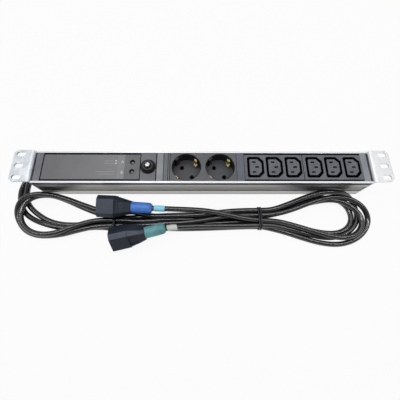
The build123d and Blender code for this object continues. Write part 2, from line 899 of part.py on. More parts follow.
def hank_right_loop():
    """The right bend of the hank, with the strand that leans up against the channel."""
    face = ring_face(right_loop_outline, [right_loop_void], hank_corner)
    loop = extrude(face, hank_high)
    arch = extrude(make_face(FilletPolyline(*right_arch, radius=hank_corner, close=True)),
                   hank_arch_height)
    keep = block((hank_right_start, hank_reach), (-hank_reach, -channel_height / 2 - joint_gap),
                 (0, hank_arch_height))
    return (loop + arch) & keep


def plug_plane(mouth, turn, roll):
    """The plug's frame: X from its mouth to its cord, Z out of its earth side."""
    heading, tilt = math.radians(turn), math.radians(roll)
    along = (math.cos(heading), math.sin(heading), 0)
    normal = (math.sin(tilt) * math.sin(heading), -math.sin(tilt) * math.cos(heading), math.cos(tilt))
    return Plane(origin=mouth, x_dir=along, z_dir=normal)


plug_a_plane = plug_plane(plug_a_mouth, plug_a_turn, plug_a_roll)
plug_b_plane = plug_plane(plug_b_mouth, plug_b_turn, plug_b_roll)


def plug_section(size, corner, x):
    """A coupler outline across the plug, its large corners on the earth side, towards Z."""
    outline = socket_outline((size[1], size[0]), corner)
    return Plane(origin=(x, 0, 0), x_dir=(0, 0, 1), z_dir=(1, 0, 0)) * outline


def plug_body(plane):
    """A moulded plug: shroud, and a tapering grip with a sunk panel on the earth side."""
    shroud = extrude(plug_section(plug_size, plug_corner, 0), plug_shroud_length)
    shrunk = [side - 2 * plug_step for side in plug_size]
    grip = loft([plug_section(shrunk, plug_corner, plug_shroud_length),
                 plug_section(plug_grip_size, plug_grip_corner, plug_grip_end),
                 plug_section(plug_tail_size, plug_tail_corner, plug_length)], ruled=True)
    body = shroud + grip
    body -= extrude(plug_section(plug_cavity, plug_cavity_corner, 0), plug_cavity_depth)
    panel_top = plug_size[1] / 2
    panel_floor = plug_grip_size[1] / 2 - plug_panel_depth
    panel_x = (plug_shroud_length + plug_step, plug_grip_end - plug_step)
    half = plug_panel_width / 2
    panel = block(panel_x, (-half, half), (panel_floor, panel_top))
    rib_start = panel_x[0] + plug_rib_inset
    rib = block((rib_start, rib_start + plug_rib_width), (-half, half),
                (panel_floor, panel_floor + plug_panel_depth))
    return plane * (body - (panel - rib))


def plug_pins(plane):
    """Three flat pins that stand on the cavity's floor."""
    length, thickness, width = pin_size
    start = plug_cavity_depth - length
    pins = []
    for y, z in ((-blade_pitch, -pin_offset), (blade_pitch, -pin_offset), (0, pin_offset)):
        pin = block((start, plug_cavity_depth), (y - thickness / 2, y + thickness / 2),
                    (z - width / 2, z + width / 2))
        tip = pin.edges().filter_by(Axis.Z).group_by(Axis.X)[0]
        pins.append(plane * chamfer(tip, thickness / 4))
    return group(pins)


def cord_space(route):
    """The room a cord takes up, with its play."""
    return tube(route, cord_radius + cord_play, bend_radii(route))


def plug_sleeve(plane, route):
    """A coloured sleeve behind the plug, round at its far end, on its bending cord."""
    root, shoulder, tip = sleeve_radii
    end = plug_length + sleeve_reach
    side = Polyline((plug_length, 0), (plug_length, root), (end - sleeve_round, shoulder))
    nose = EllipticalCenterArc((end - sleeve_round, tip), sleeve_round, shoulder - tip,
                               start_angle=0, arc_size=90)
    close = Polyline((end, tip), (end, 0), (plug_length, 0))
    sleeve = plane * revolve(make_face(side + nose + close), Axis.X)
    return sleeve - cord_space(route)


def cord_marker(plane, route, span):
    """A thin tube round the cord, just behind the sleeve."""
    sleeve_end = plug_length + sleeve_reach
    reach = (-2 * plug_length, 2 * plug_length)
    stretch = plane * block((sleeve_end + span[0], sleeve_end + span[1]), reach, reach)
    return (tube(route, marker_radius, bend_radii(route)) & stretch) - cord_space(route)


def tail_route(plane, rest):
    """A tail's points: straight out of the plug to the end of the sleeve, then on to the hank."""
    first = plane.from_local_coords(Vector(plug_length, 0, 0))
    last = plane.from_local_coords(Vector(plug_length + sleeve_reach + tail_straight, 0, 0))
    return [tuple(first), tuple(last)] + rest


tail_a_route = tail_route(plug_a_plane, [(-36, -48.9, 17.0), (tail_a_joint + 2, -49.2, 10.6)])
tail_b_route = tail_route(plug_b_plane, [(tail_b_joint + 3, -70.6, 11.0)])


def wire_tie(x, section, knot_y):
    """Two turns of wire round a section of the hank, and the twisted ends on top."""
    bottom = [(y, z + tie_wire + tie_play if z == 0 else z) for y, z in section]
    inside = offset(make_face(Polyline(*bottom, close=True)), tie_play, kind=Kind.INTERSECTION)
    ring = offset(inside, tie_wire, kind=Kind.ARC) - inside
    pitch = tie_turn_width + tie_turn_gap
    turns = [extrude(Plane.YZ.offset(x + (i - 1) * pitch + tie_turn_gap / 2) * ring, tie_turn_width)
             for i in range(2)]
    length, depth, rise = tie_knot_size
    top = max(z for y, z in section) + tie_play + tie_wire
    knot = block((x - length / 2, x + length / 2), (knot_y - depth / 2, knot_y + depth / 2),
                 (top - tie_wire / 2, top + rise))
    knot = fillet(knot.edges().group_by(Axis.Z)[-1], rise / 3)
    return turns[0] + turns[1] + knot


left_tie_section = [(-76, 0), (-48.2, 0), (-48.2, hank_low), (-60.2, hank_low), (-62.6, hank_high),
                    (-76, hank_high)]
right_tie_section = [(-73, 0), (-45.5, 0), (-45.5, hank_high), (-73, hank_high)]


def cord_grommet(position):
    """A bush in the bracket's leg with a flange outside and a lip inside."""
    y, z = position
    outside = -channel_end - bracket_thickness
    bush = Cylinder(grommet_flange_radius, grommet_flange, align=(Align.CENTER, Align.CENTER, Align.MIN))
    bush = fillet(bush.edges().group_by(Axis.Z)[-1], grommet_flange / 3)
    length = bracket_thickness + grommet_tail
    bush += Pos(0, 0, -length / 2) * Cylinder(grommet_body_radius, length)
    bush -= Cylinder(cord_radius + cord_play, 6 * grommet_flange)
    return Pos(outside, y, z) * Rot(0, -90, 0) * bush


loop_left = hank_left_loop()
loop_right = hank_right_loop()
bundle = hank_bundle()

parts = {
    "housing_profile": housing_profile(),
    "left_bracket": left_bracket(),
    "right_bracket": rack_bracket(),
    "bracket_screws": bracket_screws(),
    "left_end_filler": flat_front(spans["left_end_filler"]),
    "plain_front": raised_front(spans["plain_front"]),
    "indicator_front": indicator_front(),
    "front_label": front_label(),
    "indicator_lamps": indicator_lamps(),
    "lamp_board": lamp_board(),
    "breaker_front": breaker_front(),
    "breaker_body": breaker_body(),
    "breaker_ring_nut": breaker_ring_nut(),
    "reset_button": reset_button(),
    "wide_filler_strip": flat_front(spans["wide_strip"]),
    "narrow_filler_strip": flat_front(spans["narrow_strip"]),
    "thin_filler_strip": flat_front(spans["thin_strip"]),
    "round_socket_front": round_socket_front(),
    "round_earth_springs": round_earth_springs(),
    "round_pin_contacts": round_pin_contacts(),
    "socket_filler": flat_front(spans["socket_filler"]),
    "outlet_front_left": outlet_front("outlet_front_left"),
    "outlet_front_right": outlet_front("outlet_front_right"),
    "outlet_contacts_left": outlet_contacts("outlet_front_left"),
    "outlet_contacts_right": outlet_contacts("outlet_front_right"),
    "right_end_filler": flat_front(spans["right_end_filler"]),
    "live_busbar": power_busbar(1),
    "neutral_busbar": power_busbar(-1),
    "earth_busbar": earth_busbar(),
    "busbar_holders": busbar_holders(),
    "control_board": control_board(),
    "board_standoffs": board_standoffs(),
    "transfer_relays": transfer_relays(),
    "supply_module": supply_module(),
    "input_terminal_block": terminal_block(input_terminal_x),
    "output_terminal_block": terminal_block(output_terminal_x),
    "cord_grommet_low": cord_grommet(exit_low),
    "cord_grommet_high": cord_grommet(exit_high),
    "cord_exit_low": cord_tube("low exit", low_exit_route) - loop_left,
    "cord_exit_high": cord_tube("high exit", high_exit_route) - loop_left,
    "cord_hank_left_loop": loop_left,
    "cord_hank_bundle": bundle,
    "cord_hank_right_loop": loop_right,
    "cord_tail_a": cord_tube("tail a", tail_a_route) - bundle,
    "cord_tail_b": cord_tube("tail b", tail_b_route) - bundle,
    "plug_a_body": plug_body(plug_a_plane),
    "plug_b_body": plug_body(plug_b_plane),
    "plug_a_pins": plug_pins(plug_a_plane),
    "plug_b_pins": plug_pins(plug_b_plane),
    "plug_a_sleeve": plug_sleeve(plug_a_plane, tail_a_route),
    "plug_b_sleeve": plug_sleeve(plug_b_plane, tail_b_route),
    "cord_marker_a": cord_marker(plug_a_plane, tail_a_route, marker_a_span),
    "cord_marker_b": cord_marker(plug_b_plane, tail_b_route, marker_b_span),
    "cord_tie_left": wire_tie(tie_left_x, left_tie_section, -69.0),
    "cord_tie_right": wire_tie(tie_right_x, right_tie_section, -60.0),
}

for name, shape in parts.items():
    export_step(shape, "parts/" + name + ".step")
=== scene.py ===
import bpy
import math
from mathutils import Matrix, Vector


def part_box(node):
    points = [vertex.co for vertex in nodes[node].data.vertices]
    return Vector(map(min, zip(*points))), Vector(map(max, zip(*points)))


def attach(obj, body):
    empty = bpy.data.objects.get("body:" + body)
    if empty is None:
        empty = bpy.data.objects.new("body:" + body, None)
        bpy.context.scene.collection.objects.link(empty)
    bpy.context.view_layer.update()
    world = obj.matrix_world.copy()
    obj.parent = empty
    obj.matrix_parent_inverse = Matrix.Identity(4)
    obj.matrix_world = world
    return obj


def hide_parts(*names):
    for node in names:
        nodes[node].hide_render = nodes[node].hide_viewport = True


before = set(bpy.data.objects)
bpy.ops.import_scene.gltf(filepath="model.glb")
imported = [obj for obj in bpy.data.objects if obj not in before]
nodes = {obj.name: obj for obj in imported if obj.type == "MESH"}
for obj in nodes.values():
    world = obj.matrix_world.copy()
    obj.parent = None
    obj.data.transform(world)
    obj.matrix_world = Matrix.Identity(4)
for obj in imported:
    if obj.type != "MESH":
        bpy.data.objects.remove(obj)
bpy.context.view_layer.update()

MM = 0.001
BODY = "switch"


def mm(*values):
    """Millimetres to metres."""
    return tuple(value * MM for value in values)


# Shader building blocks

class Shader:
    """A principled material with helpers that add one texture at a time."""

    def __init__(self, name, roughness=0.5, metallic=0.0, specular=0.5):
        self.material = bpy.data.materials.new(name)
        self.material.use_nodes = True
        self.tree = self.material.node_tree
        self.surface = self.tree.nodes["Principled BSDF"]
        self.surface.inputs["Roughness"].default_value = roughness
        self.surface.inputs["Metallic"].default_value = metallic
        self.surface.inputs["Specular IOR Level"].default_value = specular
        self.place = self.add("ShaderNodeTexCoord").outputs["Object"]
        self.normal = None

    def add(self, kind, **settings):
        node = self.tree.nodes.new(kind)
        for key, value in settings.items():
            setattr(node, key, value)
        return node

    def link(self, source, target):
        self.tree.links.new(source, target)

    def stretched(self, stretch):
        mapping = self.add("ShaderNodeMapping")
        mapping.inputs["Scale"].default_value = stretch
        self.link(self.place, mapping.inputs["Vector"])
        return mapping.outputs["Vector"]

    def noise(self, size, detail=3.0, rough=0.55, stretch=(1, 1, 1)):
        """Noise whose grain is about size millimetres."""
        texture = self.add("ShaderNodeTexNoise")
        texture.inputs["Scale"].default_value = 1000.0 / size
        texture.inputs["Detail"].default_value = detail
        texture.inputs["Roughness"].default_value = rough
        self.link(self.stretched(stretch), texture.inputs["Vector"])
        return texture.outputs["Fac"]

    def cells(self, size, feature="F1", stretch=(1, 1, 1), output="Distance"):
        texture = self.add("ShaderNodeTexVoronoi", feature=feature)
        texture.inputs["Scale"].default_value = 1000.0 / size
        self.link(self.stretched(stretch), texture.inputs["Vector"])
        return texture.outputs[output]

    def axis(self, letter):
        split = self.add("ShaderNodeSeparateXYZ")
        self.link(self.place, split.inputs["Vector"])
        return split.outputs[letter]

    def remap(self, value, low, high, to_low=0.0, to_high=1.0, smooth=False):
        node = self.add("ShaderNodeMapRange")
        if smooth:
            node.interpolation_type = "SMOOTHSTEP"
        self.link(value, node.inputs["Value"])
        for name, number in (("From Min", low), ("From Max", high), ("To Min", to_low), ("To Max", to_high)):
            node.inputs[name].default_value = number
        return node.outputs["Result"]

    def between(self, letter, low, high, soft=0.15):
        """One inside a span of millimetres along an axis, and nought outside it."""
        value = self.axis(letter)
        rise = self.remap(value, (low - soft) * MM, (low + soft) * MM)
        fall = self.remap(value, (high - soft) * MM, (high + soft) * MM, 1.0, 0.0)
        return self.math("MULTIPLY", rise, fall)

    def math(self, operation, first, second):
        node = self.add("ShaderNodeMath", operation=operation)
        for socket, value in zip(node.inputs, (first, second)):
            if isinstance(value, (int, float)):
                socket.default_value = value
            else:
                self.link(value, socket)
        return node.outputs["Value"]

    def mix(self, factor, first, second, blend="MIX"):
        node = self.add("ShaderNodeMix", data_type="RGBA", blend_type=blend)
        for socket, value in zip((node.inputs[0], node.inputs[6], node.inputs[7]), (factor, first, second)):
            if isinstance(value, (int, float)):
                socket.default_value = value
            elif isinstance(value, (tuple, list)):
                socket.default_value = (*value, 1.0)
            else:
                self.link(value, socket)
        return node.outputs[2]

    def colour(self, output):
        self.link(output, self.surface.inputs["Base Color"])

    def rough(self, output):
        self.link(output, self.surface.inputs["Roughness"])

    def soften(self, radius):
        """Rounds hard edges in the shading by a radius in millimetres."""
        bevel = self.add("ShaderNodeBevel", samples=4)
        bevel.inputs["Radius"].default_value = radius * MM
        self.normal = bevel.outputs["Normal"]
        self.link(self.normal, self.surface.inputs["Normal"])

    def bump(self, height, strength, depth):
        """Relief of about depth millimetres."""
        node = self.add("ShaderNodeBump")
        node.inputs["Strength"].default_value = strength
        node.inputs["Distance"].default_value = depth * MM
        self.link(height, node.inputs["Height"])
        if self.normal is not None:
            self.link(self.normal, node.inputs["Normal"])
        self.normal = node.outputs["Normal"]
        self.link(self.normal, self.surface.inputs["Normal"])


def moulded(name, dark, light, roughness=0.5, grain=0.35, relief=0.3, edge=0.25, painted_depth_shade=(),
            specular=0.5):
    """Moulded plastic: cloudy colour, fine grain, rubbed patches, and painted shade by height."""
    shader = Shader(name, roughness, specular=specular)
    tone = shader.remap(shader.noise(18, 4), 0.3, 0.7)
    colour = shader.mix(tone, dark, light)
    speckle = shader.remap(shader.noise(0.9, 2), 0.35, 0.75)
    colour = shader.mix(shader.math("MULTIPLY", speckle, 0.22), colour, light)
    # Painted shade by height, such as the dark sides below a front's face
    for low, high, shade in painted_depth_shade:
        colour = shader.mix(shader.between("Z", low, high), colour, shade)
    shader.colour(colour)
    wear = shader.noise(6, 5, 0.65)
    shader.rough(shader.remap(wear, 0.3, 0.7, roughness - 0.09, roughness + 0.09))
    shader.soften(edge)
    shader.bump(shader.noise(grain, 2), relief, 0.05)
    return shader.material


def plug_rubber():
    """Moulded rubber with painted light: the faces that look up are made paler, with less of it on the first
    plug's grip.
    """
    shader = Shader("plug_rubber", 0.42, specular=0.2)
    tone = shader.remap(shader.noise(18, 4), 0.3, 0.7)
    colour = shader.mix(tone, (0.014, 0.018, 0.028), (0.03, 0.038, 0.055))
    facing = shader.add("ShaderNodeSeparateXYZ")
    shader.link(shader.add("ShaderNodeNewGeometry").outputs["Normal"], facing.inputs["Vector"])
    # Painted light: faces that look up turn towards a pale blue-grey
    painted_top_light = shader.remap(facing.outputs["Z"], 0.90, 0.975)
    grip = shader.math("MULTIPLY", shader.between("X", -113.2, -80), shader.between("Y", -64, -30))
    painted_top_light = shader.math("MULTIPLY", painted_top_light, shader.remap(grip, 0.0, 1.0, 0.9, 0.15))
    cloud = shader.remap(shader.noise(7, 4), 0.3, 0.7, 0.75, 1.0)
    shader.colour(shader.mix(shader.math("MULTIPLY", painted_top_light, cloud), colour, (0.10, 0.11, 0.145)))
    shader.rough(shader.remap(shader.noise(6, 5, 0.65), 0.3, 0.7, 0.34, 0.5))
    shader.soften(0.5)
    shader.bump(shader.noise(0.6, 2), 0.2, 0.05)
    return shader.material


def channel_metal():
    """Anodised aluminium with fine extrusion lines; bands along the length carry painted shade in the
    grooves, a painted highlight on the rims and a painted olive reflection, and the inside of the channel
    has painted shade.
    """
    shader = Shader("anodised_aluminium", 0.34, 0.85)
    lines = shader.noise(0.35, 3, 0.6, (0.02, 1, 1))
    streak = shader.noise(5, 3, 0.6, (0.12, 1, 1))
    colour = shader.mix(shader.remap(streak, 0.3, 0.7), (0.56, 0.565, 0.59), (0.68, 0.685, 0.70))
    # Painted reflection and shade: an olive band low on the walls, where they mirror the cords
    patch = shader.remap(shader.noise(95, 2, 0.5, (1, 0.2, 0.2)), 0.35, 0.65)
    olive_painted_reflection = shader.mix(patch, (0.215, 0.21, 0.165), (0.13, 0.125, 0.115))
    groove_wall = shader.math("LESS_THAN", shader.axis("Z"), 42.2 * MM)
    # Painted light by height: a painted highlight on the rims, painted shade in the grooves and the lower
    # bands
    for low, high, shade in ((42.3, 44, (0.74, 0.74, 0.76)), (36.3, 41.9, (0.10, 0.11, 0.145)),
                             (29.8, 36.3, (0.34, 0.34, 0.355)), (27.4, 29.8, (0.13, 0.128, 0.122)),
                             (5.2, 14.7, (0.45, 0.445, 0.44)), (4.5, 5.2, (0.26, 0.25, 0.235)),
                             (-1, 4.5, (0.36, 0.34, 0.31))):
        colour = shader.mix(shader.between("Z", low, high, 0.5), colour, shade)
    colour = shader.mix(shader.between("Z", 14.7, 27.6, 0.7), colour, olive_painted_reflection)
    # Painted shade on the inside of the channel, below the rim
    painted_shade_inside = shader.math("MULTIPLY", groove_wall, shader.between("Y", -19.9, 19.9, 0.05))
    colour = shader.mix(painted_shade_inside, colour, (0.2, 0.2, 0.21))
    shader.colour(colour)
    shader.rough(shader.remap(lines, 0.3, 0.7, 0.26, 0.44))
    shader.soften(0.3)
    shader.bump(lines, 0.35, 0.03)
    return shader.material


def galvanised(name, dark, light, contrast):
    """Zinc-coated sheet: spangle, cloudy oxide and small scuffs."""
    shader = Shader(name, 0.36, 0.75)
    spangle = shader.cells(7.5, output="Color")
    grey = shader.add("ShaderNodeRGBToBW")
    shader.link(spangle, grey.inputs["Color"])
    cloud = shader.noise(9, 6, 0.7)
    tone = shader.math("ADD", shader.math("MULTIPLY", grey.outputs["Val"], contrast),
                       shader.remap(cloud, 0.3, 0.7, 0.0, 1.0 - contrast))
    colour = shader.mix(tone, dark, light)
    scuff = shader.remap(shader.noise(1.6, 4, 0.75, (0.4, 1, 1)), 0.62, 0.72)
    colour = shader.mix(shader.math("MULTIPLY", scuff, 0.45), colour, light)
    shader.colour(colour)
    shader.rough(shader.remap(cloud, 0.3, 0.7, 0.26, 0.5))
    shader.soften(0.4)
    shader.bump(shader.noise(2.2, 4), 0.2, 0.04)
    return shader.material


def label_film():
    """Printed film: a grey that lightens to the right and a paler panel beside the lamps."""
    shader = Shader("printed_film", 0.42)
    across = shader.remap(shader.axis("X"), -204 * MM, -112 * MM)
    colour = shader.mix(across, (0.135, 0.135, 0.145), (0.215, 0.215, 0.225))
    cloud = shader.remap(shader.noise(14, 4), 0.35, 0.65)
    colour = shader.mix(shader.math("MULTIPLY", cloud, 0.12), colour, (0.3, 0.3, 0.31))
    panel = shader.between("X", -109.4, -90, 0.1)
    colour = shader.mix(panel, colour, (0.245, 0.25, 0.26))
    shader.colour(colour)
    shader.rough(shader.remap(shader.noise(3, 4), 0.3, 0.7, 0.34, 0.5))
    shader.bump(shader.noise(0.5, 2), 0.15, 0.02)
    return shader.material


def printed_ink(name, shade):
    shader = Shader(name, 0.55)
    ink = shader.noise(0.7, 3)
    lighter = tuple(min(1.0, part * 1.12) for part in shade)
    shader.colour(shader.mix(shader.remap(ink, 0.35, 0.65), shade, lighter))
    shader.rough(shader.remap(ink, 0.3, 0.7, 0.45, 0.65))
    return shader.material


def bare_metal(name, dark, light, roughness=0.25, relief=0.2, metallic=1.0, bands=()):
    shader = Shader(name, roughness, metallic)
    cloud = shader.noise(4, 5, 0.65)
    colour = shader.mix(shader.remap(cloud, 0.3, 0.7), dark, light)
    for low, high, shade in bands:
        colour = shader.mix(shader.between("Z", low, high, 0.5), colour, shade)
    shader.colour(colour)
    shader.rough(shader.remap(cloud, 0.3, 0.7, roughness - 0.07, roughness + 0.12))
    shader.soften(0.15)
    shader.bump(shader.noise(0.4, 3, 0.6, (0.2, 1, 1)), relief, 0.02)
    return shader.material


def cord_jacket():
    """Smooth black jacket: a faint undulation, dusty patches and a soft gloss."""
    shader = Shader("cord_jacket", 0.2, specular=1.0)
    dust = shader.remap(shader.noise(11, 5, 0.65), 0.42, 0.72)
    shader.colour(shader.mix(dust, (0.004, 0.004, 0.005), (0.012, 0.012, 0.015)))
    shader.rough(shader.remap(shader.noise(25, 2), 0.3, 0.7, 0.17, 0.23))
    shader.bump(shader.noise(14, 1), 0.05, 0.1)
    return shader.material


def circuit_board(name):
    """Green solder mask over copper tracks."""
    shader = Shader(name, 0.35)
    tracks = shader.cells(3.2, "DISTANCE_TO_EDGE", (0.5, 1, 1))
    lines = shader.remap(tracks, 0.03, 0.07, 1.0, 0.0)
    base = shader.mix(shader.noise(8, 3), (0.01, 0.10, 0.035), (0.02, 0.16, 0.05))
    shader.colour(shader.mix(shader.math("MULTIPLY", lines, 0.6), base, (0.05, 0.28, 0.09)))
    shader.rough(shader.remap(tracks, 0.0, 0.2, 0.28, 0.42))
    shader.bump(lines, 0.2, 0.03)
    return shader.material


def lamp_lens():
    """Milky grey lamp body that lets a little light through."""
    shader = Shader("lamp_lens", 0.22)
    cloud = shader.noise(1.5, 3)
    shader.colour(shader.mix(shader.remap(cloud, 0.3, 0.7), (0.2, 0.205, 0.21), (0.32, 0.32, 0.325)))
    shader.rough(shader.remap(cloud, 0.3, 0.7, 0.16, 0.3))
    shader.surface.inputs["Transmission Weight"].default_value = 0.2
    shader.surface.inputs["IOR"].default_value = 1.5
    return shader.material


# The sides of the fronts, below their faces, are painted near black as shade, like the shaded gaps between
# them
SHADED_SIDES = ((20, 41.8, (0.007, 0.007, 0.009)),)

materials = {
    "channel": channel_metal(),
    # One zinc-coated steel for both brackets: the left one is darker as painted shade, the right one paler
    # as painted light
    "left_ear_shaded": galvanised("galvanised_left_painted_shade", (0.47, 0.51, 0.56), (0.86, 0.90, 0.94), 0.45),
    "right_ear_lit": galvanised("galvanised_right_painted_light", (0.72, 0.74, 0.76), (0.88, 0.89, 0.90), 0.35),
    "screw": bare_metal("zinc_screw", (0.55, 0.55, 0.57), (0.75, 0.75, 0.77), 0.3),
    "end_filler": moulded("end_filler_grey", (0.135, 0.138, 0.16), (0.215, 0.218, 0.245), 0.55,
                          grain=0.8, relief=0.5, painted_depth_shade=SHADED_SIDES),
    "right_filler": moulded("right_filler_grey", (0.22, 0.24, 0.275), (0.33, 0.355, 0.395), 0.5,
                            grain=0.8, relief=0.5, painted_depth_shade=SHADED_SIDES),
    "face": moulded("face_grey", (0.125, 0.128, 0.138), (0.165, 0.168, 0.178), 0.5,
                    painted_depth_shade=SHADED_SIDES),
    "breaker_face": moulded("breaker_face_grey", (0.13, 0.135, 0.148), (0.175, 0.18, 0.195), 0.5,
                            painted_depth_shade=SHADED_SIDES),
    "wide_filler": moulded("wide_filler_grey", (0.215, 0.222, 0.245), (0.335, 0.342, 0.365), 0.45,
                           grain=0.9, relief=0.55, painted_depth_shade=SHADED_SIDES),
    "narrow_filler": moulded("narrow_filler_grey", (0.115, 0.12, 0.133), (0.175, 0.18, 0.195), 0.5,
                             painted_depth_shade=SHADED_SIDES),
    # Painted shade: the socket wells below the face get darker with depth
    "round_face": moulded("round_face_grey", (0.088, 0.091, 0.10), (0.128, 0.131, 0.14), 0.48, edge=0.4,
                          painted_depth_shade=((20, 25.4, (0.062, 0.064, 0.07)),
                                         (25.4, 42.0, (0.014, 0.014, 0.016)))),
    "socket_filler": moulded("socket_filler_blue_grey", (0.10, 0.112, 0.15), (0.14, 0.152, 0.195), 0.5,
                             painted_depth_shade=SHADED_SIDES),
    # Painted shade: the outlet grooves below the face are painted near black
    "outlet_face": moulded("outlet_face_grey", (0.10, 0.104, 0.125), (0.15, 0.155, 0.18), 0.46,
                           painted_depth_shade=((20, 42.1, (0.004, 0.004, 0.006)),)),
    "black": moulded("black_moulding", (0.012, 0.012, 0.014), (0.03, 0.03, 0.034), 0.45),
    "nut": moulded("ring_nut_black", (0.003, 0.003, 0.004), (0.009, 0.009, 0.010), 0.3, relief=0.1, edge=0.3,
                   specular=0.15),
    "button": moulded("button_black", (0.002, 0.002, 0.003), (0.006, 0.006, 0.007), 0.14, relief=0.03,
                      edge=1.2, specular=0.5),
    "plug": plug_rubber(),
    "relay": moulded("relay_case", (0.012, 0.02, 0.05), (0.02, 0.035, 0.09), 0.35),
    "supply": moulded("supply_case", (0.01, 0.01, 0.012), (0.025, 0.025, 0.028), 0.4),
    "terminal": moulded("terminal_green", (0.01, 0.13, 0.06), (0.02, 0.2, 0.09), 0.4),
    "nylon": moulded("pale_nylon", (0.45, 0.44, 0.40), (0.6, 0.58, 0.53), 0.45),
    "sleeve_a": moulded("sleeve_blue", (0.03, 0.125, 0.53), (0.09, 0.265, 0.78), 0.42,
                        grain=0.7, relief=0.6, edge=0.5),
    "sleeve_b": moulded("sleeve_teal", (0.07, 0.245, 0.265), (0.17, 0.43, 0.47), 0.42,
                        grain=0.7, relief=0.6, edge=0.5),
    "marker_a": moulded("marker_sky", (0.13, 0.58, 0.95), (0.42, 0.85, 1.0), 0.4, grain=1.4, relief=0.4),
    "marker_b": moulded("marker_pale", (0.52, 0.58, 0.53), (0.80, 0.88, 0.82), 0.45, grain=1.4, relief=0.4),
    "brass": bare_metal("spring_brass", (0.86, 0.58, 0.14), (1.0, 0.84, 0.42), 0.3, metallic=0.5),
    "deep_brass": bare_metal("shaded_brass", (0.02, 0.014, 0.006), (0.045, 0.032, 0.013), 0.45),
    # Brass made brighter and not metallic as painted light, so that it stays bright in the shaded well;
    # darker between 33.2 and 36.2 mm up
    "clip": bare_metal("clip_brass_and_painted_light", (0.92, 0.70, 0.22), (1.0, 0.92, 0.52), 0.35, metallic=0.0,
                       bands=((33.2, 36.2, (0.10, 0.07, 0.025)),)),
    "nickel": bare_metal("nickel_pin", (0.62, 0.60, 0.56), (0.78, 0.76, 0.72), 0.22),
    "cord": cord_jacket(),
    "tie": moulded("tie_coating", (0.008, 0.008, 0.012), (0.024, 0.024, 0.034), 0.4, grain=0.5, relief=0.5),
    "grommet": moulded("grommet_rubber", (0.01, 0.01, 0.011), (0.022, 0.022, 0.024), 0.6),
    "label": label_film(),
    "white_ink": printed_ink("white_ink", (0.72, 0.72, 0.74)),
    "pale_ink": printed_ink("pale_ink", (0.36, 0.36, 0.37)),
    "yellow_ink": printed_ink("yellow_ink", (0.72, 0.74, 0.30)),
    "board": circuit_board("solder_mask"),
    # Painted shade: the lamp board is painted near black, as the shade seen through the lamp holes
    "shaded_board": moulded("solder_mask_painted_shade", (0.006, 0.007, 0.007), (0.018, 0.02, 0.019), 0.35, grain=0.8),
    "lamp": lamp_lens(),
}

node_materials = {
    "housing_profile": "channel",
    "left_bracket": "left_ear_shaded",
    "right_bracket": "right_ear_lit",
    "bracket_screws": "screw",
    "left_end_filler": "end_filler",
    "right_end_filler": "right_filler",
    "plain_front": "face",
    "indicator_front": "face",
    "front_label": "label",
    "indicator_lamps": "lamp",
    "lamp_board": "shaded_board",
    "breaker_front": "breaker_face",
    "breaker_body": "black",
    "breaker_ring_nut": "nut",
    "reset_button": "button",
    "wide_filler_strip": "wide_filler",
    "narrow_filler_strip": "narrow_filler",
    "thin_filler_strip": "narrow_filler",
    "round_socket_front": "round_face",
    "round_earth_springs": "clip",
    "round_pin_contacts": "deep_brass",
    "socket_filler": "socket_filler",
    "outlet_front_left": "outlet_face",
    "outlet_front_right": "outlet_face",
    "outlet_contacts_left": "deep_brass",
    "outlet_contacts_right": "deep_brass",
    "live_busbar": "brass",
    "neutral_busbar": "brass",
    "earth_busbar": "brass",
    "busbar_holders": "nylon",
    "control_board": "board",
    "board_standoffs": "nylon",
    "transfer_relays": "relay",
    "supply_module": "supply",
    "input_terminal_block": "terminal",
    "output_terminal_block": "terminal",
    "cord_grommet_low": "grommet",
    "cord_grommet_high": "grommet",
    "plug_a_body": "plug",
    "plug_b_body": "plug",
    "plug_a_pins": "nickel",
    "plug_b_pins": "nickel",
    "plug_a_sleeve": "sleeve_a",
    "plug_b_sleeve": "sleeve_b",
    "cord_marker_a": "marker_a",
    "cord_marker_b": "marker_b",
}
for name, key in node_materials.items():
    for holder in nodes[name].material_slots:
        holder.material = materials[key]


# Cords: the exits and tails repeat the routes of the solids, and the rest winds through the hank

CORD_RADIUS = 3.5

